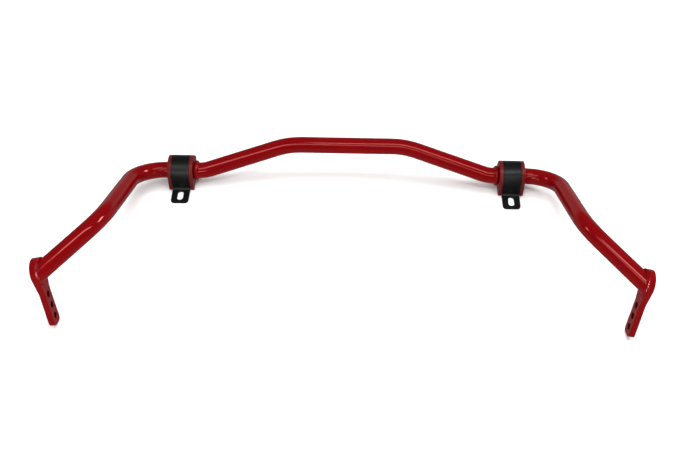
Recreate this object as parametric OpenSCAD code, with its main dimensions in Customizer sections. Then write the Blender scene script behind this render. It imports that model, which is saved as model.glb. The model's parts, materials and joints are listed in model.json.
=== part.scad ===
// Front sway bar: a bent steel tube with welded end blades, held in two split
// bushes under strap brackets. X runs across the car and the arms point to -Y.
// The brackets, the bushes and the tips of the blades stand on Z = 0, X = 0 is
// the plane of symmetry, and Y = 0 is the middle of the bar from front to back.

/* [Bar] */
// Outer diameter of the tube
bar_d = 35; // [30:0.5:36]
// Wall thickness of the tube
wall_t = 5; // [3:0.5:7]
// Half the length of the raised centre, up to its bend
centre_half = 127; // [100:1:150]
// How far the centre stands behind the bushes
centre_y = 44; // [20:1:60]
// How far the centre stands above the bushes
centre_z = 40; // [10:1:50]
// Distance from the middle to the bend inboard of each bush
crank_x = 308; // [290:1:308]
// Distance from the middle to the outer bend
outer_x = 454; // [452:1:462]

/* [Arms] */
// Elbow of the arm: distance from the middle
elbow_x = 470; // [462:1:480]
// Elbow of the arm: reach in front of the bushes
elbow_y = 240; // [220:1:260]
// Elbow of the arm: height above the bushes
elbow_z = 103; // [80:1:120]
// End of the tube: distance from the middle
end_x = 566; // [550:1:580]
// End of the tube: reach in front of the bushes
end_y = 356; // [340:1:370]

/* [Bends] */
// Centre-line radius where the raised centre begins
centre_bend_r = 180; // [120:5:220]
// Centre-line radius inboard of each bush
crank_bend_r = 75; // [60:5:75]
// Centre-line radius of the outer bend
outer_bend_r = 70; // [60:1:70]
// Centre-line radius at the elbow
elbow_bend_r = 100; // [80:5:140]

/* [End blades] */
// Thickness of the blade
blade_t = 12; // [8:1:14]
// Width of the blade's arm
blade_w = 32; // [28:1:36]
// Radius of the blade's big end
blade_big_r = 27; // [25:0.5:30]
// Length from the middle of the big end to the tip
blade_len = 113; // [108:1:124]
// Where the tapered shoulder meets the arm, from the middle of the big end
shoulder_len = 42; // [34:1:44]
// How steeply the blade points down, in degrees
blade_drop = 67; // [55:1:75]
// How far the blade leans towards the middle, in degrees
blade_lean = 10; // [0:1:16]
// Corner radius at the tip
tip_r = 8; // [3:1:12]
// Diameter of the end-link holes
link_hole_d = 13; // [10:0.5:14]
// Distance between the end-link holes
link_pitch = 23.5; // [18:0.5:24]
// Distance from the last hole to the tip
link_edge = 17; // [14:1:20]
// Leg of the weld bead around the end of the tube
weld_leg = 5; // [3:0.5:6]

/* [Locating collars] */
// Outer diameter of the collar
collar_d = 44; // [41:1:44]
// Width of the collar along the bar
collar_w = 9; // [8:1:9]

/* [Bushes] */
// Distance from the middle to the centre of each bush
bush_x = 358; // [357:0.5:359]
// Length of the bush along the bar
bush_len = 54; // [50:1:54]
// Running clearance between bar and bush, on the radius
bush_gap = 0.05; // [0.02:0.01:0.1]
// Radius of the bush under the strap
bush_r = 29; // [27:0.5:30]
// Radius of the flanges at each end of the bush
flange_r = 33; // [31:0.5:34]
// Width of the fitting slit at the back of the bush
slit_w = 1; // [0.5:0.5:2]

/* [Brackets] */
// Thickness of the strap
strap_t = 4; // [3:0.5:5]
// Width of the strap along the bar
strap_w = 38; // [34:1:40]
// Clearance between strap and bush
strap_gap = 0.1; // [0.05:0.05:0.3]
// Length of the bracket from ear to ear
bracket_len = 146; // [142:1:150]
// Distance between the middles of the two slots
slot_pitch = 104; // [102:1:108]
// Width of the slots
slot_w = 13; // [10:0.5:14]
// Length of the slots
slot_len = 27; // [20:1:27]
// Inner radius where each ear turns up into the strap
ear_bend_r = 5; // [3:0.5:5]
// Corner radius of the front ear
front_corner_r = 8; // [5:1:10]
// Inboard corner radius of the rear ear
rear_corner_r = 4.5; // [3:0.5:8]
// Width of the outboard chamfer on the rear ear
chamfer_x = 14; // [8:1:16]
// Length of the outboard chamfer on the rear ear
chamfer_y = 9; // [5:1:12]
// Diameter of the pressed dimple on the front of the strap
dimple_d = 8; // [5:1:10]
// Height of the dimple above the foot of the bracket
dimple_z = 18; // [15:1:22]
// Depth of the dimple
dimple_depth = 1; // [0.5:0.5:2]

/* [Hidden] */
$fn = 96;

paint_red = "#9c0d12";
bush_red = "#a3161b";
bracket_black = "#161719";

// The bushes stand on their flat bases, which sets the height of the bar's axis.
axis_z = bush_r;

// The blade's own axes, as they stand on the right-hand side.
blade_normal = [
    cos(blade_lean),
    -sin(blade_lean) * cos(blade_drop),
    -sin(blade_lean) * sin(blade_drop)
];
// From the middle of the big end to the lowest and to the foremost point.
tip_below = cos(blade_lean) * sin(blade_drop) * (blade_len - tip_r)
    + cos(blade_drop) * (blade_w / 2 - tip_r)
    + tip_r * sqrt(1 - blade_normal.z ^ 2)
    - blade_t * blade_normal.z;
tip_front = cos(blade_lean) * cos(blade_drop) * (blade_len - tip_r)
    + sin(blade_drop) * (blade_w / 2 - tip_r)
    + tip_r * sqrt(1 - blade_normal.y ^ 2)
    - blade_t * blade_normal.y;

// The tube ends at the height that puts the tips of the blades on Z = 0.
tube_end = [end_x, -end_y, tip_below - axis_z];
// The bushes stand this far behind the middle. The rear ears of the brackets
// reach furthest back.
bushes_y = (end_y + tip_front - bracket_len / 2) / 2;

// Right-hand half of the tube's centre line, measured from the axis of the
// bushes: the sharp corners and the bend radius at each inner corner.
corners = [
    [0, centre_y, centre_z],
    [centre_half, centre_y, centre_z],
    [crank_x, 0, 0],
    [outer_x, 0, 0],
    [elbow_x, -elbow_y, elbow_z],
    tube_end
];
bends = [centre_bend_r, crank_bend_r, outer_bend_r, elbow_bend_r];
last_corner = len(corners) - 1;
// Gap between a bend and the straight next to it, and how far the ring that
// bridges it stands proud.
seam = 0.3;
seam_proud = 0.05;
// The tube is drawn longer than this at its end and cut by the blade's face.
cut_margin = 40;

collar_x = bush_x - bush_len / 2 - 1 - collar_w / 2;
strap_r = bush_r + strap_gap;
strap_out = strap_r + strap_t;
ear_len = (bracket_len - 2 * strap_out) / 2;
far = 200;

function unit(v) = v / norm(v);
// Direction of the straight after corner i, and the angle of the bend there.
function along(i) = unit(corners[i + 1] - corners[i]);
function turn(i) = acos(along(i - 1) * along(i));
// From the centre line towards the centre of the bend, where the bend begins
// and where it ends.
function inward(i) = unit(along(i) - (along(i) * along(i - 1)) * along(i - 1));
function inward_after(i) = inward(i) * cos(turn(i)) - along(i - 1) * sin(turn(i));
// Length that the bend at corner i takes from each straight next to it.
function bend_take(i) =
    i == 0 || i == last_corner ? 0 : bends[i - 1] * tan(turn(i) / 2);
// Length of the straight after corner i.
function feed(i) =
    norm(corners[i + 1] - corners[i]) - bend_take(i) - bend_take(i + 1);
// How far the bender rolls the tube between the bend before and bend i.
function roll(i) =
    let (from = i == 1 ? [0, 0, -1] : inward_after(i - 1), to = inward(i))
    atan2(cross(from, to) * along(i - 1), from * to);

// Lays the tube as a bender does: feed it, roll it, bend it, and so on. It
// starts at the origin and runs along Z, and each bend turns it towards X.
module bent_tube(d, i = 0) {
    last = i == last_corner - 1;
    start = i == 0 ? 0 : seam;
    translate([0, 0, start])
        cylinder(h = feed(i) - start + (last ? cut_margin : -seam), d = d);
    if (i > 0) seam_disc(d);
    if (!last) translate([0, 0, feed(i)]) {
        r = bends[i];
        rotate([180, 0, 0]) seam_disc(d);
        rotate([0, 0, roll(i + 1)]) translate([r, 0, 0]) {
            rotate([90, 0, 180]) rotate_extrude(angle = turn(i + 1))
                translate([r, 0]) circle(d = d);
            rotate([0, turn(i + 1), 0]) translate([-r, 0, 0]) bent_tube(d, i + 1);
        }
    }
}

// The faint line that the bender leaves where a bend meets a straight. It
// bridges the gap between the two.
module seam_disc(d) {
    translate([0, 0, -seam]) cylinder(h = 3 * seam, r = d / 2 + seam_proud);
}

module tube_half(d) {
    translate(corners[0]) rotate([0, 90, 0]) bent_tube(d);
}

module both_sides() {
    children();
    mirror([1, 0, 0]) children();
}

module right_side(right) {
    if (right) children();
    else mirror([1, 0, 0]) children();
}

// Moves to the axis of the bushes, in the middle of the bar.
module at_axis() {
    translate([0, bushes_y, axis_z]) children();
}

// The blade's frame: X through its thickness, -Y along its arm.
module at_blade() {
    translate(tube_end) rotate([blade_drop, 0, 0]) rotate([0, 0, -blade_lean])
        children();
}

module bar_tube() {
    color(paint_red) at_axis() difference() {
        both_sides() tube_half(bar_d);
        both_sides() tube_half(bar_d - 2 * wall_t);
        both_sides() at_blade() translate([0, -far / 2, -far / 2]) cube(far);
    }
}

// Outline of the blade, with the arm along -X. The tapered shoulders touch the
// big end as tangents from the two points where the straight arm begins.
module blade_outline() {
    half = blade_w / 2;
    reach = norm([shoulder_len, half]);
    a = atan2(half, shoulder_len) + acos(blade_big_r / reach);
    touch = [-blade_big_r * cos(a), blade_big_r * sin(a)];
    circle(r = blade_big_r);
    polygon([
        [0, 0], touch, [-shoulder_len, half],
        [-shoulder_len, -half], [touch.x, -touch.y]
    ]);
    translate([tip_r - blade_len, -half])
        square([blade_len - tip_r - shoulder_len, blade_w]);
    translate([-blade_len, tip_r - half]) square([tip_r, blade_w - 2 * tip_r]);
    for (y = [-1, 1])
        translate([tip_r - blade_len, y * (half - tip_r)]) circle(r = tip_r);
}

module blade(right) {
    color(paint_red) at_axis() right_side(right) at_blade() difference() {
        rotate([90, 0, 90]) linear_extrude(blade_t) blade_outline();
        for (i = [0:2])
            translate([-1, link_edge + i * link_pitch - blade_len, 0])
                rotate([0, 90, 0]) cylinder(h = blade_t + 2, d = link_hole_d);
    }
}

// Stands a bar of the given diameter on the last straight of the tube.
module along_end(d) {
    z = along(last_corner - 1);
    x = unit(cross(z, [0, 0, 1]));
    y = cross(z, x);
    multmatrix([
        [x.x, y.x, z.x, tube_end.x],
        [x.y, y.y, z.y, tube_end.y],
        [x.z, y.z, z.z, tube_end.z],
        [0, 0, 0, 1]
    ]) cylinder(h = far, d = d, center = true);
}

// The bead fills the corner between the tube and the face of the blade.
module weld(right) {
    color(paint_red) at_axis() right_side(right) difference() {
        intersection() {
            along_end(bar_d + 2 * weld_leg);
            at_blade() rotate([0, -90, 0])
                cylinder(h = weld_leg, r = blade_big_r);
        }
        along_end(bar_d);
    }
}

// A half-round ring.
module collar(right) {
    color(paint_red) at_axis() right_side(right)
        translate([collar_x, 0, 0]) rotate([0, 90, 0])
        rotate_extrude() difference() {
            translate([(collar_d - collar_w) / 2, 0]) circle(d = collar_w);
            translate([0, -collar_w]) square([bar_d / 2, 2 * collar_w]);
        }
}

// Half-round top and square foot, as the end view of the bush.
module dee(r) {
    circle(r = r);
    translate([-r, -axis_z]) square([2 * r, axis_z]);
}

// Lays an end view, drawn across and up, along the bar.
module along_bar(length) {
    translate([bush_x - length / 2, 0, 0]) rotate([90, 0, 90])
        linear_extrude(length) children();
}

module bush(right) {
    flange_w = (bush_len - strap_w) / 2;
    color(bush_red) at_axis() right_side(right) difference() {
        union() {
            along_bar(strap_w) dee(bush_r);
            for (s = [-1, 1])
                translate([s * (strap_w + flange_w) / 2, 0, 0])
                    along_bar(flange_w) intersection() {
                        dee(flange_r);
                        translate([-far / 2, -axis_z]) square(far);
                    }
        }
        along_bar(bush_len + 2) {
            circle(d = bar_d + 2 * bush_gap);
            translate([0, -slit_w / 2]) square([far, slit_w]);
        }
    }
}

// One side of the strap's end view: arch, flank, bend and ear.
module strap_side() {
    root = strap_t + ear_bend_r;
    intersection() {
        difference() {
            circle(r = strap_out);
            circle(r = strap_r);
        }
        square(far);
    }
    translate([strap_r, root - axis_z]) square([strap_t, axis_z - root]);
    translate([strap_out + ear_bend_r, root - axis_z]) intersection() {
        difference() {
            circle(r = root);
            circle(r = ear_bend_r);
        }
        translate([-far, -far]) square(far);
    }
    translate([strap_out + ear_bend_r, -axis_z])
        square([ear_len - ear_bend_r, strap_t]);
}

// The bracket from above: outboard to +X, rear to +Y.
module bracket_plan() {
    half_w = strap_w / 2;
    half_l = bracket_len / 2;
    corner = front_corner_r;
    difference() {
        translate([-half_w, -half_l]) square([strap_w, bracket_len]);
        for (s = [-1, 1]) {
            translate([s * half_w, -half_l]) corner_cut(s, 1, corner);
            for (y = [-1, 1])
                translate([0, s * slot_pitch / 2 + y * (slot_len - slot_w) / 2])
                    circle(d = slot_w);
            translate([-slot_w / 2, (s * slot_pitch - slot_len + slot_w) / 2])
                square([slot_w, slot_len - slot_w]);
        }
        translate([-half_w, half_l]) corner_cut(-1, -1, rear_corner_r);
        polygon([
            [half_w - chamfer_x, half_l],
            [half_w, half_l - chamfer_y],
            [half_w, half_l]
        ]);
    }
}

// What rounding a square corner at the origin takes away. sx and sy say
// where the corner points: sx = 1 to the right, sy = 1 to the front.
module corner_cut(sx, sy, r) {
    difference() {
        translate([sx > 0 ? -r : 0, sy > 0 ? 0 : -r]) square(r);
        translate([-sx * r, sy * r]) circle(r = r);
    }
}

module bracket(right) {
    color(bracket_black) at_axis() right_side(right) difference() {
        intersection() {
            along_bar(strap_w) {
                strap_side();
                mirror([1, 0]) strap_side();
            }
            translate([bush_x, 0, -axis_z])
                linear_extrude(far) bracket_plan();
        }
        translate([bush_x, dimple_depth - strap_out, dimple_z - axis_z])
            rotate([90, 0, 0]) cylinder(h = strap_t, d = dimple_d);
    }
}

bar_tube();
blade(false);  // left_blade
blade(true);  // right_blade
weld(false);  // left_weld
weld(true);  // right_weld
collar(false);  // left_collar
collar(true);  // right_collar
bush(false);  // left_bush
bush(true);  // right_bush
bracket(false);  // left_bracket
bracket(true);  // right_bracket
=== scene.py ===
# %% [markdown]
# # A front sway bar
#
# A sway bar is one long steel spring. It ties the left and the right wheel
# together: when the car leans, the bar twists and holds it flat. This one is
# a bent tube with a flat blade welded on each end, two collars that stop it
# from sliding sideways, and two split bushes that it turns in, each held down
# by a strap bracket.
#
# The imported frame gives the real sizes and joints. Every visible piece is then
# built again as a finer mesh, in the place of its plain solid.

import json
import math

import bmesh
import bpy
import numpy as np
from mathutils import Matrix, Vector


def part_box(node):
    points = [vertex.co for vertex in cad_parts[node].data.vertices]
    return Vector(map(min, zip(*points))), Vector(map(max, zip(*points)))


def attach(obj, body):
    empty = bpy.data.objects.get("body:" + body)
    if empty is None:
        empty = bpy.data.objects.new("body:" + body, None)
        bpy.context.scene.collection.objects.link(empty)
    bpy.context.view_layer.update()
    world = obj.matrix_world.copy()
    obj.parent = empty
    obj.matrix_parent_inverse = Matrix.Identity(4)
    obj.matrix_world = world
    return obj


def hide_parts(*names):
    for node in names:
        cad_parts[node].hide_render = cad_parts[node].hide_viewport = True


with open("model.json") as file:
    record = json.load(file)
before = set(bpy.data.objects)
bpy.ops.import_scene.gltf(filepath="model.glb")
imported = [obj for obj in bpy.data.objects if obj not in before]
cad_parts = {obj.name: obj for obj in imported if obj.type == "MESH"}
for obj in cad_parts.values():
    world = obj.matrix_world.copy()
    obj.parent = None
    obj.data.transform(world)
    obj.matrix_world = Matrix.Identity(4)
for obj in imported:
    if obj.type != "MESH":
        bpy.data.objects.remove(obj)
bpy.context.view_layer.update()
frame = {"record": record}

# %% [markdown]
# ## Sizes
#
# The drawing of the bar is in millimetres and Blender works in metres, so one
# constant turns the first into the second. What the frame can tell is read from
# it: the axis of the bushes is where their hinges are, and the two ends of the
# row of link holes say how each blade stands.

# %% Sizes
MM = 0.001
record = frame["record"]
mounts = {m["name"]: m for m in record["mounts"]}
hinge = record["behaviour"]["joints"][1]
axis_point = np.array(hinge["pos_m"]) * (0, 1, 1)
bush_x = hinge["pos_m"][0]

tube_r = 17.5 * MM
wall = 5 * MM
# Sharp corners of the centre line from the middle to the outer bend and the
# elbow, measured from the axis of the bushes, and the radius of each bend.
corners = np.array([
    (0, 44, 40),
    (127, 44, 40),
    (308, 0, 0),
    (454, 0, 0),
    (470, -240, 103),
]) * MM
bend_radii = np.array([180, 75, 70, 100]) * MM

blade_t = 12 * MM
blade_w = 32 * MM
big_end_r = 27 * MM
shoulder = 42 * MM
tip_corner = 8 * MM
link_hole_r = mounts["right_end_link_hole"]["dims"]["r_mm"] * MM
link_edge = 17 * MM
blade_len = 113 * MM

print("axis of the bushes at", axis_point, "and the right bush at x =", bush_x)

# %% [markdown]
# ## Camera
#
# A long lens from above and in front, so that both arms come towards it. The
# camera looks at a point on the floor close to the middle of the bar. A
# constraint could aim it, but here its three axes are worked out, so that it
# can also be rolled a little, as a hand-held camera is.

# %% Camera
camera_aim = Vector((0.0118, 0.0205, 0))
camera_distance = 2.0375
camera_height = math.radians(48.35)
camera_turn = math.radians(-0.94)
camera_roll = math.radians(0.37)

forward = Vector((
    math.sin(camera_turn) * math.cos(camera_height),
    math.cos(camera_turn) * math.cos(camera_height),
    -math.sin(camera_height),
))
level = Vector((math.cos(camera_turn), -math.sin(camera_turn), 0))
right = (Matrix.Rotation(-camera_roll, 3, forward) @ level).normalized()
up = right.cross(forward)
camera = bpy.data.objects.new("camera", bpy.data.cameras.new("camera"))
camera.data.sensor_width = 36
camera.data.lens = 49.9
camera.matrix_world = Matrix((
    (right.x, up.x, -forward.x, 0),
    (right.y, up.y, -forward.y, 0),
    (right.z, up.z, -forward.z, 0),
    (0, 0, 0, 1),
))
camera.location = camera_aim - forward * camera_distance
bpy.context.scene.collection.objects.link(camera)
bpy.context.scene.camera = camera
print("camera at", [round(v, 3) for v in camera.location])

# %% [markdown]
# ## Materials
#
# Colours are picked as sRGB hex values, the way a paint chart gives them, and
# Blender wants linear light, so one function turns them. Another adds a shader
# node with its settings and what feeds it.

# %% Colour and node helpers
def linear(hex_colour):
    """An sRGB hex colour as linear red, green, blue and alpha."""
    parts = [int(hex_colour[i:i + 2], 16) / 255 for i in (1, 3, 5)]
    low = [c / 12.92 for c in parts]
    high = [((c + 0.055) / 1.055) ** 2.4 for c in parts]
    return [a if c <= 0.04045 else b for c, a, b in zip(parts, low, high)] + [1]


def add(tree, kind, feeds=None, **settings):
    """Adds a node, sets it up and feeds its sockets with values or links."""
    node = tree.nodes.new("ShaderNode" + kind)
    for name, value in settings.items():
        setattr(node, name, value)
    for name, value in (feeds or {}).items():
        if isinstance(value, bpy.types.NodeSocket):
            tree.links.new(value, node.inputs[name])
        else:
            node.inputs[name].default_value = value
    return node


def new_material(name):
    """An empty material with its shader, and where a point is on the piece."""
    material = bpy.data.materials.new(name)
    material.use_nodes = True
    tree = material.node_tree
    shader = tree.nodes["Principled BSDF"]
    place = add(tree, "TexCoord").outputs["Object"]
    return material, tree, shader, place


def feed(tree, shader, feeds):
    """Sets the shader's sockets to values or links."""
    for name, value in feeds.items():
        if isinstance(value, bpy.types.NodeSocket):
            tree.links.new(value, shader.inputs[name])
        else:
            shader.inputs[name].default_value = value


def grain(tree, place, size, detail):
    """Noise whose grains are about size metres across."""
    feeds = {"Vector": place, "Scale": 1 / size, "Detail": detail}
    return add(tree, "TexNoise", feeds).outputs["Fac"]


def between(tree, factor, low, high):
    """Spreads a 0 to 1 factor between two numbers."""
    feeds = {"Value": factor, "To Min": low, "To Max": high}
    return add(tree, "MapRange", feeds).outputs["Result"]


def blend_colours(tree, factor, first, second):
    """Mixes two hex colours by a factor."""
    mix = add(tree, "Mix", data_type="RGBA")
    tree.links.new(factor, mix.inputs["Factor"])
    mix.inputs[6].default_value = linear(first)
    mix.inputs[7].default_value = linear(second)
    return mix.outputs[2]


print("a mid red in linear light:", [round(c, 3) for c in linear("#900a10")])

# %% [markdown]
# ### Red powder coat
#
# The bar is painted by spraying dry polyester powder and baking it until it
# flows into one thick gloss skin. It never flows quite flat: shallow waves two
# or three millimetres across stay in it, called orange peel, and they make the
# long highlights wander a little. The resin is red all through, so a lamp seen
# straight on in it looks rosy, and only turns white towards the rim. That is
# what the specular tint is for.

# %% Red powder coat
# Polyester, epoxy and polyurethane all bend light about this much.
RESIN_IOR = 1.5


def red_powder_coat(name, peel_width, peel_depth):
    """Gloss red. The colour and the gloss drift a little over 60 mm."""
    material, tree, shader, place = new_material(name)
    drift = grain(tree, place, 60 * MM, detail=3)
    peel = grain(tree, place, peel_width, detail=1)
    bump = add(tree, "Bump", {"Height": peel, "Distance": peel_depth, "Strength": 1})
    feed(tree, shader, {
        "Base Color": blend_colours(tree, drift, "#690307", "#720509"),
        "Roughness": between(tree, drift, 0.07, 0.11),
        "Normal": bump.outputs["Normal"],
        "IOR": RESIN_IOR,
        "Specular Tint": linear("#ffa8a0"),
    })
    return material


# Orange peel, drawn 4 mm wide so that it just shows from two metres away.
powder_coat = red_powder_coat("red_powder_coat", 4 * MM, 0.03 * MM)
# Over a weld the skin follows the small lumps and spatter underneath.
weld_coat = red_powder_coat("red_powder_coat_on_weld", 4 * MM, 0.4 * MM)
print("made", powder_coat.name, "and", weld_coat.name)

# %% [markdown]
# ### Painted shade in the holes
#
# The walls of the link holes get a dark, half-matt metal with a thin, patchy
# brown-black film. Its darkness is painted shade: it stands for the shade
# inside the holes.

# %% Painted shade in the holes
def painted_shade_steel():
    """Dark, half-matt metal with a film patchy over 4 mm, as painted shade."""
    material, tree, shader, place = new_material("painted_shade_steel")
    film = grain(tree, place, 4 * MM, detail=3)
    feed(tree, shader, {
        "Base Color": blend_colours(tree, film, "#1c1210", "#3a2622"),
        "Metallic": 1.0,
        "Roughness": between(tree, film, 0.45, 0.6),
    })
    return material


# The dark material of the hole walls paints the shade inside the holes.
hole_shade_steel = painted_shade_steel()
print("made", hole_shade_steel.name)

# %% [markdown]
# ### Red polyurethane
#
# The bushes are cast from polyurethane, a hard rubber. It is dyed through, so
# edges and scratches stay red. Out of the mould its skin is half matt, with
# fine pits and a wax bloom that changes how shiny it is from place to place.

# %% Red polyurethane
def red_polyurethane():
    """Half-matt dark red, with a bloom in 12 mm patches and fine pits."""
    material, tree, shader, place = new_material("red_polyurethane")
    bloom = grain(tree, place, 12 * MM, detail=4)
    # The real pits are a few tenths of a millimetre, drawn coarser to show.
    pits = grain(tree, place, 1.2 * MM, detail=2)
    bump = add(tree, "Bump", {"Height": pits, "Distance": 0.04 * MM, "Strength": 1})
    feed(tree, shader, {
        "Base Color": blend_colours(tree, bloom, "#520a10", "#601015"),
        "Roughness": between(tree, bloom, 0.3, 0.42),
        "Normal": bump.outputs["Normal"],
        "IOR": RESIN_IOR,
        "Specular Tint": linear("#ffb4ac"),
    })
    return material


polyurethane = red_polyurethane()
print("made", polyurethane.name)

# %% [markdown]
# ### Black coat
#
# The brackets are pressed from steel strip and dipped in black paint that an
# electric charge pulls on. The skin is thin, even and satin, so the grain of
# the rolled strip underneath still shows faintly through it.

# %% Black coat
def black_coat():
    """Satin black, with 20 mm patches of more and of less gloss."""
    material, tree, shader, place = new_material("black_coat")
    patch = grain(tree, place, 20 * MM, detail=3)
    # The strip's own grain is finer than this and is drawn coarser to show.
    strip = grain(tree, place, 1.6 * MM, detail=3)
    bump = add(tree, "Bump", {"Height": strip, "Distance": 0.03 * MM, "Strength": 1})
    feed(tree, shader, {
        "Base Color": blend_colours(tree, patch, "#050506", "#09090b"),
        "Roughness": between(tree, patch, 0.36, 0.44),
        "Normal": bump.outputs["Normal"],
        "IOR": RESIN_IOR,
        "Specular IOR Level": 0.35,
    })
    return material


black = black_coat()
print("made", black.name)

# %% [markdown]
# ## Mesh helpers
#
# Most pieces are lofts: a closed loop of points is carried along and joined to
# the next one with quads. A loft can be capped at its ends, or wrapped round
# so that its last loop joins its first, as on a ring.

# %% Loft and finish
# Points closer than this are one point.
SAME_POINT = 0.001 * MM


def finish(mesh, name, material, body, node, crease=40):
    """Makes a piece of the mesh, shaded smooth up to the crease angle."""
    mesh.validate()
    mesh.polygons.foreach_set("use_smooth", [True] * len(mesh.polygons))
    mesh.set_sharp_from_angle(angle=math.radians(crease))
    mesh.materials.clear()
    mesh.materials.append(material)
    piece = bpy.data.objects.new(name, mesh)
    bpy.context.scene.collection.objects.link(piece)
    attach(piece, body)
    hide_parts(node)
    low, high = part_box(node)
    print(name, len(mesh.vertices), "points, solid", np.round(np.subtract(high, low), 4))
    return piece


def loft(name, loops, wrap=False):
    """A closed mesh through loops of points, capped at both ends or wrapped."""
    build = bmesh.new()
    rows = [[build.verts.new(tuple(p)) for p in loop] for loop in loops]
    following = rows[1:] + rows[:1] if wrap else rows[1:]
    for one, two in zip(rows, following):
        for i, j in zip(range(len(one)), [*range(1, len(one)), 0]):
            build.faces.new((one[i], one[j], two[j], two[i]))
    if not wrap:
        build.faces.new(rows[0][::-1])
        build.faces.new(rows[-1])
    bmesh.ops.remove_doubles(build, verts=build.verts, dist=SAME_POINT)
    bmesh.ops.recalc_face_normals(build, faces=build.faces)
    mesh = bpy.data.meshes.new(name)
    build.to_mesh(mesh)
    build.free()
    return mesh


def unit(v):
    """The same direction, one long."""
    return np.asarray(v) / np.linalg.norm(v)


def arc(centre, radius, start, end, step=5):
    """Points on an arc in a plane, from start to end in degrees."""
    count = max(2, round(abs(end - start) / step) + 1)
    turn = np.radians(np.linspace(start, end, count))
    return list(zip(centre[0] + radius * np.cos(turn), centre[1] + radius * np.sin(turn)))


def mirrored(points):
    """The same points on the other side of the bar's middle."""
    return np.asarray(points) * (-1, 1, 1)


SIDES = {"left": -1, "right": 1}
print("helpers ready for", list(SIDES))

# %% [markdown]
# ## Where the blades stand
#
# The record gives the end-link holes of each blade. The row of holes points
# along the arm of the blade and each hole's axis is square to it, so together
# they give the blade's own three directions. The end of the tube is on the
# inner face, in the middle of the big end.

# %% The right-hand blade's directions
end_hole = mounts["right_end_link_hole"]
inner_hole = mounts["right_inner_link_hole"]
blade_out = unit(end_hole["axis"])
blade_along = unit(np.subtract(end_hole["pos_m"], inner_hole["pos_m"]))
blade_across = np.cross(blade_along, blade_out)
row_length = np.linalg.norm(np.subtract(end_hole["pos_m"], inner_hole["pos_m"]))
tube_end = (
    np.array(inner_hole["pos_m"])
    - blade_along * (blade_len - link_edge - row_length)
    - blade_out * blade_t / 2
)
print("tube ends at", np.round(tube_end, 4), "blade points", np.round(blade_along, 3))

# %% [markdown]
# ## The tube
#
# A bender feeds a straight tube, rolls it and draws it round a die, so the
# centre line is straights joined by arcs. Each corner is rounded here in the
# same way. The tube keeps its round section, but where it is drawn round a
# die it flattens by a percent or two, and the loops follow that too.

# %% Centre line
def centre_line():
    """Points from the middle to the right end, with how hard each is bent."""
    sharp = [*(corners + axis_point), tube_end]
    points, bend = [sharp[0]], [0.0]
    for i, radius in enumerate(bend_radii, start=1):
        into = unit(sharp[i] - sharp[i - 1])
        out = unit(sharp[i + 1] - sharp[i])
        turn = math.acos(into @ out)
        take = radius * math.tan(turn / 2)
        inward = unit(out - (out @ into) * into)
        centre = sharp[i] - into * take + inward * radius
        steps = max(6, round(math.degrees(turn) / 3))
        for k in range(steps + 1):
            a = turn * k / steps
            points.append(centre + radius * (into * math.sin(a) - inward * math.cos(a)))
            bend.append(math.sin(math.pi * k / steps) / radius)
    points.append(sharp[-1])
    bend.append(0.0)
    return np.array(points), np.array(bend)


line, bend = centre_line()
length = 2 * np.linalg.norm(np.diff(line, axis=0), axis=1).sum()
print("the tube is", round(length, 3), "m long before bending")

# %% Tube
AROUND = 72
# A bend flattens the section by a share: this length over the bend's radius.
OVAL = 0.9 * MM


def tube_loops(radius):
    """Loops round the centre line, the last one cut by the blade's face."""
    along = np.gradient(line, axis=0)
    side = np.array((0.0, 0, 1))
    angles = np.linspace(0, 2 * math.pi, AROUND, endpoint=False)
    loops = []
    for i, (point, way) in enumerate(zip(line, along)):
        way = unit(way)
        side = unit(side - (side @ way) * way)
        other = np.cross(way, side)
        ring = np.outer(np.cos(angles), side) + np.outer(np.sin(angles), other)
        if bend[i] > 0:
            inner = unit(line[i + 1] + line[i - 1] - 2 * point)
            ring -= OVAL * bend[i] * np.outer(ring @ inner, inner)
        loops.append(point + radius * ring)
    last = unit(along[-1])
    gap = (tube_end - loops[-1]) @ blade_out / (last @ blade_out)
    loops[-1] = loops[-1] + np.outer(gap, last)
    return loops


def both_halves(loops):
    """The loops from the left end to the right one."""
    return [mirrored(loop) for loop in reversed(loops[1:])] + loops


outside = both_halves(tube_loops(tube_r))
inside = both_halves(tube_loops(tube_r - wall))
pipe = loft("tube", outside + inside[::-1], wrap=True)
finish(pipe, "tube", powder_coat, "bar", "bar_tube")

# %% [markdown]
# ## Locating collars
#
# A half-round steel ring sits on the tube just inboard of each bush. Its foot
# runs into the tube through a small hollow that the thick paint fills, so the
# profile ends in a tiny fillet on each side.

# %% Collars
def collar_loops(side):
    """The profile of the ring, turned round the tube."""
    low, high = (np.array(v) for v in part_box(side + "_collar"))
    middle = (low + high) / 2
    ring_r = (high[0] - low[0]) / 2
    fillet, paint = 0.8 * MM, 0.03 * MM
    profile = [
        (-ring_r - fillet, tube_r - fillet),
        (-ring_r - fillet, tube_r + paint),
        *arc((0, tube_r), ring_r, 170, 10, 8),
        (ring_r + fillet, tube_r + paint),
        (ring_r + fillet, tube_r - fillet),
    ]
    for a in np.linspace(0, 2 * math.pi, AROUND, endpoint=False):
        yield [
            middle + (x, r * math.cos(a), r * math.sin(a))
            for x, r in profile
        ]


for side in SIDES:
    ring = loft(side + "_ring", list(collar_loops(side)), wrap=True)
    finish(ring, side + "_ring", powder_coat, "bar", side + "_collar", crease=60)

# %% [markdown]
# ## End blades
#
# Each blade is cut from 12 mm plate: a round big end, shoulders that taper to
# the arm, and three drilled holes. A flat curve with holes in it is the plain
# way to draw such a plate. Blender fills it, gives it its thickness and rounds
# every edge, round the holes too, which is what paint does to a cut edge.

# %% Blade outline
half_arm = blade_w / 2
# Where the straight shoulder leaves the round big end, as an angle from the arm.
shoulder_angle = (math.atan2(half_arm, shoulder)
                  + math.acos(big_end_r / math.hypot(shoulder, half_arm)))


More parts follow.
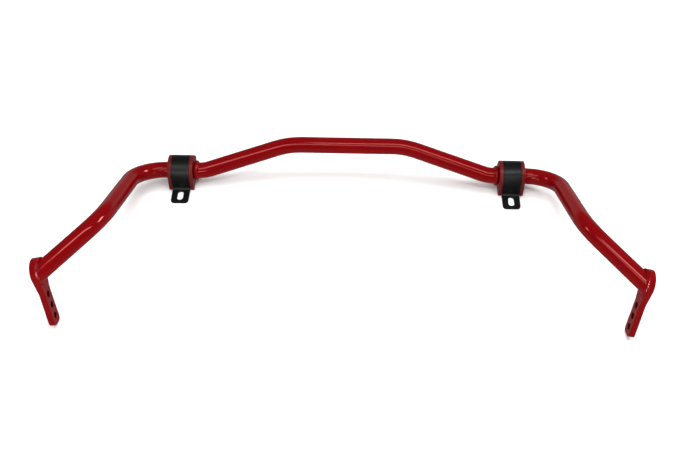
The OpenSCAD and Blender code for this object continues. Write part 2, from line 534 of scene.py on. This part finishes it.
def blade_outline():
    """The blade's edge as points along and across the arm."""
    a = math.degrees(shoulder_angle)
    tip = blade_len - tip_corner
    return [
        *arc((0, 0), big_end_r, a, 360 - a, 4),
        (shoulder, -half_arm),
        *arc((tip, tip_corner - half_arm), tip_corner, -90, 0, 9),
        *arc((tip, half_arm - tip_corner), tip_corner, 0, 90, 9),
        (shoulder, half_arm),
    ]


def add_outline(curve, points):
    """Adds one closed outline to a flat curve."""
    spline = curve.splines.new("POLY")
    spline.points.add(len(points) - 1)
    for target, (x, y) in zip(spline.points, points):
        target.co = (x, y, 0, 1)
    spline.use_cyclic_u = True


def plate(name, outlines, thickness, edge):
    """A flat plate with holes and rounded edges, lying on its middle plane."""
    curve = bpy.data.curves.new(name, "CURVE")
    curve.dimensions = "2D"
    curve.fill_mode = "BOTH"
    curve.extrude = thickness / 2 - edge
    curve.bevel_depth = edge
    curve.bevel_resolution = 3
    curve.offset = -edge
    for points in outlines:
        add_outline(curve, points)
    carrier = bpy.data.objects.new(name, curve)
    mesh = bpy.data.meshes.new_from_object(carrier)
    bpy.data.objects.remove(carrier)
    build = bmesh.new()
    build.from_mesh(mesh)
    bmesh.ops.remove_doubles(build, verts=build.verts, dist=10 * SAME_POINT)
    bmesh.ops.recalc_face_normals(build, faces=build.faces)
    build.to_mesh(mesh)
    build.free()
    return mesh


print("the shoulders leave the big end", round(math.degrees(shoulder_angle)), "degrees off")

# %% Blades
# How round the paint and the cut leave every edge.
EDGE_R = 1.2 * MM


def flat_normals(piece):
    """Keeps the big flat faces flat next to their rounded edges."""
    weighted = piece.modifiers.new("flat_faces", "WEIGHTED_NORMAL")
    weighted.keep_sharp = True
    weighted.weight = 100


hole_rows = [mounts[f"right_{w}_link_hole"] for w in ("end", "middle", "inner")]
holes = [(np.array(m["pos_m"]) - tube_end) @ blade_along for m in hole_rows]
outlines = [blade_outline()] + [arc((h, 0), link_hole_r, 0, 352, 8) for h in holes]
for side, sign in SIDES.items():
    mesh = plate(side + "_end_blade", outlines, blade_t, EDGE_R)
    middle = tube_end + blade_out * blade_t / 2
    columns = np.column_stack([blade_along, blade_across, blade_out, middle])
    place = Matrix(np.vstack([columns, (0, 0, 0, 1)]).tolist())
    mesh.transform(Matrix.Diagonal((sign, 1, 1, 1)) @ place)
    if sign * place.determinant() < 0:
        mesh.flip_normals()
    piece = finish(mesh, side + "_end_blade", powder_coat, "bar", side + "_blade")
    flat_normals(piece)
    piece.data.materials.append(hole_shade_steel)
    centres = [np.array(m["pos_m"]) * (sign, 1, 1) for m in hole_rows]
    axis = blade_out * (sign, 1, 1)
    # The straight walls of the holes get the dark steel, which paints the shade in them.
    for face in piece.data.polygons:
        away = np.array(face.center)[None] - centres
        depth = away @ axis
        off = np.linalg.norm(away - np.outer(depth, axis), axis=1)
        wall_face = (off < 1.02 * link_hole_r) & (abs(depth) < blade_t / 2 - 0.9 * EDGE_R)
        face.material_index = int(wall_face.any())

# %% [markdown]
# ## Weld beads
#
# The welder runs one pass round the tube where it meets the blade. Each time
# the pool freezes it leaves a ripple, so the bead looks like a row of fallen
# coins. A noise could roughen a plain ring, but it wouldn't look laid down in
# one direction. So the bead is lofted round the tube: at each step its section
# spans from the plate to the tube, and the ripples swell it.

# %% Weld beads
RIPPLE = 4.5 * MM
STEPS = 360
# How far the bead lies over the plate and up the tube, and the strip of plate
# that it leaves free at the edge.
LEG_PLATE, LEG_TUBE = 8 * MM, 4.5 * MM
PLATE_EDGE = 0.6 * MM


def plate_reach(way):
    """How far the blade reaches from the middle of the tube's end, one way."""
    off_arm = math.acos(way @ blade_along)
    return big_end_r / math.cos(max(0, shoulder_angle - off_arm))


def weld_loops():
    """Sections of the bead round the right-hand end of the tube. The plate's
    edge is close on two sides, and there the bead is narrower."""
    along = unit(line[-1] - line[-2])
    side = unit(np.cross(along, (0, 0, 1)))
    other = np.cross(along, side)
    travelled, before = 0.0, None
    for a in np.linspace(0, 2 * math.pi, STEPS, endpoint=False):
        radial = math.cos(a) * side + math.sin(a) * other
        start = tube_end + radial * tube_r
        toe = start + along * ((tube_end - start) @ blade_out / (along @ blade_out))
        over_plate = unit(toe - tube_end)
        spare = plate_reach(over_plate) - np.linalg.norm(toe - tube_end) - PLATE_EDGE
        if before is not None:
            travelled += np.linalg.norm(toe - before)
        before = toe
        yield toe, over_plate * min(LEG_PLATE, spare), -along * LEG_TUBE, travelled


def bead(sections):
    """The loops of the bead, each from a root inside the metal over the crown."""
    total = sections[-1][3] + np.linalg.norm(sections[0][0] - sections[-1][0])
    ripple = total / round(total / RIPPLE)
    for toe, out, back, travelled in sections:
        root = toe - 0.25 * out - 0.1 * back + 0.3 * MM * blade_out
        loop = [root]
        for k in range(11):
            t = k / 10
            # The ripples lag in the middle of the pool, where it freezes last.
            phase = travelled / ripple + 0.3 * math.sin(math.pi * t)
            scale = abs(math.sin(math.pi * phase)) ** 0.6
            swell = 0.6 + 0.5 * scale
            curve = (1 - t) ** 2 * out + t ** 2 * back
            crown = 2 * t * (1 - t) * (out + back) * swell
            loop.append(toe + curve + crown)
        loop.append(toe - 0.2 * out + back)
        yield loop


bead_loops = list(bead(list(weld_loops())))
widths = [np.linalg.norm(out) / MM for _, out, _, _ in weld_loops()]
print("bead on the plate, mm:", round(min(widths), 1), "to", round(max(widths), 1))
for side, sign in SIDES.items():
    loops = bead_loops if sign > 0 else [mirrored(loop) for loop in bead_loops]
    mesh = loft(side + "_bead", loops, wrap=True)
    finish(mesh, side + "_bead", weld_coat, "bar", side + "_weld", crease=70)

# %% [markdown]
# ## Bushes
#
# A bush is cast in one piece with a flange at each end and a slit down its
# back, so that it opens over the bar. Seen from the end it is a letter C in
# the shape of a D: round on top, square at the foot. That outline is carried
# along the bar, wide at the flanges, narrow under the strap and rounded at
# every edge, as a mould leaves it.

# %% Bush sections
SLIT = 1.0 * MM
FOOT_R = 1.5 * MM
foot = -axis_point[2]


def dee_outline(size, bore):
    """The C-shaped loop of one section: over the top, round the foot, then
    back round the bore from one lip of the slit to the other."""
    lip = math.degrees(math.asin(SLIT / 2 / size))
    bore_lip = math.degrees(math.asin(SLIT / 2 / bore))
    return [
        *arc((0, 0), size, lip, 180, 4),
        *arc((FOOT_R - size, foot + FOOT_R), FOOT_R, 180, 270, 22),
        *arc((size - FOOT_R, foot + FOOT_R), FOOT_R, 270, 360, 22),
        (size, -SLIT / 2),
        *arc((0, 0), bore, -bore_lip, bore_lip - 360, 5),
    ]


print("the foot of a bush is", round(-foot / MM, 1), "mm under the bar's axis")

# %% Bushes
flange_r = 33 * MM
core_r = 29 * MM
bore_r = tube_r + 0.05 * MM
half_bush = 27 * MM
# The seat between the flanges is where the strap lies.
half_seat = 19.3 * MM
MOULD_R, SMALL_R = 1.2 * MM, 0.6 * MM


def bush_stations():
    """How far along, how wide and how big the bore is, end to end."""
    rim = arc((half_bush - MOULD_R, flange_r - MOULD_R), MOULD_R, 0, 90, 30)
    mouth = [bore_r + SMALL_R, bore_r + SMALL_R / 3, bore_r, bore_r]
    seat = [(half_seat + SMALL_R, flange_r), (half_seat, flange_r - SMALL_R),
            (half_seat, core_r)]
    right_half = [(x, size, bore) for (x, size), bore in zip(rim, mouth)]
    right_half += [(x, size, bore_r) for x, size in seat]
    left_half = [(-x, size, bore) for x, size, bore in reversed(right_half)]
    return right_half + left_half


for side, sign in SIDES.items():
    loops = [
        [(sign * bush_x + x, y + axis_point[1], z + axis_point[2])
         for y, z in dee_outline(size, bore)]
        for x, size, bore in bush_stations()
    ]
    mesh = loft(side + "_split_bush", loops)
    finish(mesh, side + "_split_bush", polyurethane, side + "_mount", side + "_bush", crease=32)

# %% [markdown]
# ## Brackets
#
# A bracket starts as a flat strip that is blanked with its two slots and its
# corners, and is then pressed over a former. Here its end view is extruded to
# the width of the strip, and the blank's outline and slots are cut from above,
# which gives the same solid. A round punch then dents the front. The bevel
# afterwards is the rounding that the blanking press and the paint leave.

# %% Cutting helpers
def prism(name, points, low, high, axis):
    """An outline in the plane across the given axis, drawn out along it."""
    order = {"X": lambda u, v, w: (w, u, v), "Z": lambda u, v, w: (u, v, w)}[axis]
    mesh = loft(name, [[order(u, v, w) for u, v in points] for w in (low, high)])
    solid = bpy.data.objects.new(name, mesh)
    bpy.context.scene.collection.objects.link(solid)
    return solid


def carve(solid, tool, operation):
    """Applies one boolean and throws the tool away."""
    cut = solid.modifiers.new(operation, "BOOLEAN")
    cut.operation = operation
    cut.solver = "EXACT"
    cut.object = tool
    view = bpy.context.evaluated_depsgraph_get()
    mesh = bpy.data.meshes.new_from_object(solid.evaluated_get(view))
    solid.modifiers.clear()
    solid.data = mesh
    bpy.data.objects.remove(tool)


print("ready to cut: prism and carve")

# %% Bracket shape
# The strap's inside clears the core of the bush by a tenth of a millimetre.
strap_in = 29.1 * MM
strap_t = 4 * MM
strap_w = 38 * MM
ear_bend = 5 * MM
half_length = 73 * MM
slots = mounts["right_bracket_slots"]["dims"]
slot_half = slots["hole_r_mm"] * MM
slot_run = slots["slot_length_mm"] / 2 * MM - slot_half
slot_y = slots["spacing_y_mm"] / 2 * MM


def strap_view():
    """The end view of the strap: over the top, down and out to the ears."""
    strap_out = strap_in + strap_t
    bend_y = strap_out + ear_bend
    bend_z = foot + strap_t + ear_bend
    outer = [
        *arc((0, 0), strap_out, 90, 0, 4),
        *arc((bend_y, bend_z), ear_bend, 180, 270, 9),
        (half_length, foot + strap_t),
    ]
    inner = [
        (half_length, foot),
        *arc((bend_y, bend_z), ear_bend + strap_t, 270, 180, 9),
        *arc((0, 0), strap_in, 0, 90, 4),
    ]
    front = outer + inner
    back = [(-y, z) for y, z in reversed(front)]
    return front + back[1:-1]


def blank_outline(sign):
    """The strip from above: round corners in front, a chamfer at the back."""
    front_r, rear_r = 8 * MM, 4.5 * MM
    chamfer_x, chamfer_y = 14 * MM, 9 * MM
    half = strap_w / 2
    points = [
        *arc((front_r - half, front_r - half_length), front_r, 180, 270, 9),
        *arc((half - front_r, front_r - half_length), front_r, 270, 360, 9),
        (half, half_length - chamfer_y),
        (half - chamfer_x, half_length),
        *arc((rear_r - half, half_length - rear_r), rear_r, 90, 180, 15),
    ]
    return [(sign * x, y) for x, y in points]


def slot_outline(middle):
    """A slot with round ends, along the strip."""
    return [
        *arc((0, middle + slot_run), slot_half, 0, 180, 9),
        *arc((0, middle - slot_run), slot_half, 180, 360, 9),
    ]


dimple_r, dimple_depth, dimple_z = 4 * MM, 1 * MM, 18 * MM


def dimple_punch():
    """The round nose of the punch that dents the front of the strap."""
    nose_r = (dimple_r ** 2 + dimple_depth ** 2) / (2 * dimple_depth)
    front = -strap_in - strap_t
    turns = np.linspace(0, 2 * math.pi, 40, endpoint=False)
    loops = []
    for a in np.radians(np.linspace(1, 70, 24)):
        ring = nose_r * math.sin(a)
        y = front + dimple_depth - nose_r * (1 - math.cos(a))
        loops.append([(ring * math.cos(t), y, foot + dimple_z + ring * math.sin(t))
                      for t in turns])
    punch = bpy.data.objects.new("punch", loft("punch", loops))
    bpy.context.scene.collection.objects.link(punch)
    return punch


print("slots", round(2 * slot_half / MM, 1), "by", slots["slot_length_mm"], "mm")

# %% Brackets
# The cutters run well past the strap, above and below.
past = 60 * MM
for side, sign in SIDES.items():
    name = side + "_strap"
    strap = prism(name, strap_view(), -strap_w / 2, strap_w / 2, "X")
    carve(strap, prism("blank", blank_outline(sign), -past, past, "Z"), "INTERSECT")
    for middle in (-slot_y, slot_y):
        carve(strap, prism("slot", slot_outline(middle), -past, past, "Z"), "DIFFERENCE")
    carve(strap, dimple_punch(), "DIFFERENCE")
    mesh = strap.data
    bpy.data.objects.remove(strap)
    mesh.transform(Matrix.Translation((sign * bush_x, *axis_point[1:])))
    piece = finish(mesh, name, black, side + "_mount", side + "_bracket", crease=32)
    edge = piece.modifiers.new("blanked_edges", "BEVEL")
    edge.width = 0.7 * MM
    edge.segments = 3
    edge.limit_method = "ANGLE"
    edge.angle_limit = math.radians(40)
    flat_normals(piece)

# %% [markdown]
# ## Floor and light
#
# A pale matt sheet carries the bar, and a plain curtain far off closes the
# view. Gloss paint shows whatever stands round it, and in a white room it would
# look pink and chalky. So the two broad suns that make the sheet white are kept
# out of reflections, the sheet too, and the paint only reflects a dim room and
# a few boxes of light. The long narrow ones draw the thin lines of light that
# make a tube look round and wet.

# %% Floor and curtain
def pale_sheet():
    """Matt white, with no gloss at all, so it is as bright far off as near."""
    material, tree, shader, _ = new_material("pale_sheet")
    feed(tree, shader, {
        "Base Color": linear("#fbfbfa"), "Roughness": 0.9, "Specular IOR Level": 0})
    return material


def pale_curtain():
    """As bright as the far end of the sheet, wherever it is seen from."""
    material, tree, shader, _ = new_material("pale_curtain")
    feed(tree, shader, {
        "Base Color": linear("#000000"), "Specular IOR Level": 0,
        "Emission Color": linear("#ededec"), "Emission Strength": 1})
    return material


def stage(name, points, faces, material):
    """A thing that stands round the bar and doesn't show in its gloss."""
    mesh = bpy.data.meshes.new(name)
    mesh.from_pydata(points, [], faces)
    mesh.materials.append(material)
    thing = bpy.data.objects.new(name, mesh)
    thing.visible_glossy = False
    bpy.context.scene.collection.objects.link(thing)
    return thing


room_r, room_h, room_sides = 30, 14, 48
turns = [2 * math.pi * i / room_sides for i in range(room_sides)]
rim = [(room_r * math.cos(a), room_r * math.sin(a)) for a in turns]
stage("floor", [(x, y, 0) for x, y in rim], [range(room_sides)], pale_sheet())
hem = [(x, y, -0.1) for x, y in rim]
rail = [(x, y, room_h) for x, y in rim]
panels = []
for i in range(room_sides):
    j = (i + 1) % room_sides
    panels.append((i, j, j + room_sides, i + room_sides))
curtain = stage("curtain", hem + rail, panels, pale_curtain())
# It neither lights the bar nor shades it.
curtain.visible_diffuse = curtain.visible_shadow = False
print("floor", 2 * room_r, "m across")

# %% Lights
def aimed(name, lamp, place, aim, turn, reflected):
    """Puts a lamp at a place, points it at the aim and turns it that way round."""
    thing = bpy.data.objects.new(name, lamp)
    look = (Vector(aim) - Vector(place)).to_track_quat("-Z", "Y").to_matrix()
    spin = Matrix.Rotation(math.radians(turn), 3, "Z")
    thing.matrix_world = Matrix.Translation(place) @ (look @ spin).to_4x4()
    thing.visible_glossy = reflected
    bpy.context.scene.collection.objects.link(thing)
    return thing


def soft_sun(name, place, strength, spread):
    """Even light on the whole room, kept out of reflections."""
    lamp = bpy.data.lights.new(name, "SUN")
    lamp.energy, lamp.angle = strength, math.radians(spread)
    aimed(name, lamp, place, (0, 0, 0), 0, reflected=False)


def soft_box(name, place, aim, width, depth, watts, turn=0):
    """A lamp box that the paint does reflect."""
    lamp = bpy.data.lights.new(name, "AREA")
    lamp.shape = "RECTANGLE"
    lamp.size, lamp.size_y, lamp.energy = width, depth, watts
    return aimed(name, lamp, place, aim, turn, reflected=True)


def near_blade(sign):
    """A point close to one blade, for lamps to look at."""
    return sign * 0.57, -0.2, 0.08


soft_sun("top_light", (0, 1.2, 2.7), 2.6, 55)
soft_sun("front_light", (0, -3.2, 2.6), 0.25, 40)
soft_box("top_strip", (0.55, -0.4, 2.2), (0.55, -0.4, 0), 1.5, 0.26, 15)
soft_box("slant_strip", (0.265, -2.114, 2.2), (0.265, -2.114, 0), 4.6, 0.34, 32, turn=-52)
soft_box("left_strip", (-0.95, -2.5, 1.3), (-0.36, 0.17, 0), 0.9, 0.5, 12)
soft_box("right_box", (2.3, 0.7, 1.7), (0, 0, 0), 0.9, 0.6, 36)
soft_box("left_box", (-2.3, 0.6, 1.5), (0, 0, 0), 0.6, 0.5, 9)
for sign in SIDES.values():
    soft_box("low_glint", (sign * 1.5, -1.9, 0.4), near_blade(sign), 0.2, 0.2, 12)

# %% [markdown]
# ### Glints on the welds
#
# A real bead glints in a row of small dots, one to a ripple. Lamps low in front
# and at the side do that, but on the smooth tube they would draw long streaks.
# Light linking keeps them to the two beads, and they show there only as glints.

# %% Lamps for the beads
beads = bpy.data.collections.new("beads")
for side in SIDES:
    beads.objects.link(bpy.data.objects[side + "_bead"])
for sign in SIDES.values():
    for out, front, high in ((2.2, -0.9, 0.9), (1.5, -1.5, 0.4), (1.0, -2.0, 0.2)):
        place = (sign * out, front, high)
        lamp = soft_box("bead_glint", place, near_blade(sign), 0.5, 0.5, 130)
        lamp.light_linking.receiver_collection = beads
        lamp.visible_diffuse = False

# %% [markdown]
# ### The room in the gloss
#
# Between the lines of light the paint shows the room itself. It is darkest
# above, a little brighter at the foot of the back wall, and brightest below,
# where the sheet would be. Two ramps over the direction are enough for that.

# %% Room
ABOVE, BELOW, BACK_WALL = 0.07, 0.22, 0.22


def dim_room():
    """The world's brightness by direction."""
    world = bpy.data.worlds.new("studio")
    world.use_nodes = True
    tree = world.node_tree
    way = add(tree, "TexCoord").outputs["Generated"]
    parts = add(tree, "SeparateXYZ", {"Vector": way})
    below = add(tree, "MapRange", {
        "Value": parts.outputs["Z"], "From Min": 0.05, "From Max": -0.15,
        "To Min": ABOVE, "To Max": BELOW})
    level = add(tree, "Math", {0: parts.outputs["Z"]}, operation="ABSOLUTE")
    flat = add(tree, "MapRange", {
        "Value": level.outputs[0], "From Min": 0.3, "From Max": 0.0})
    back = add(tree, "MapRange", {
        "Value": parts.outputs["Y"], "From Min": 0.2, "From Max": 0.9,
        "To Max": BACK_WALL})
    wall = add(tree, "Math", {0: flat.outputs["Result"], 1: back.outputs["Result"]},
               operation="MULTIPLY")
    total = add(tree, "Math", {0: below.outputs["Result"], 1: wall.outputs[0]})
    tree.links.new(total.outputs[0], tree.nodes["Background"].inputs["Strength"])
    tree.nodes["Background"].inputs["Color"].default_value = (1, 1, 1, 1)
    return world


bpy.context.scene.world = dim_room()
bpy.context.scene.view_settings.view_transform = "Standard"
print("the room is", ABOVE, "above and", BELOW, "below")

# %% [markdown]
# ## Finish
#
# The view layer is updated once more, so every piece stands in its place. The fine
# pieces have to stay inside the box of the plain ones.

# %% Finish
bpy.context.view_layer.update()
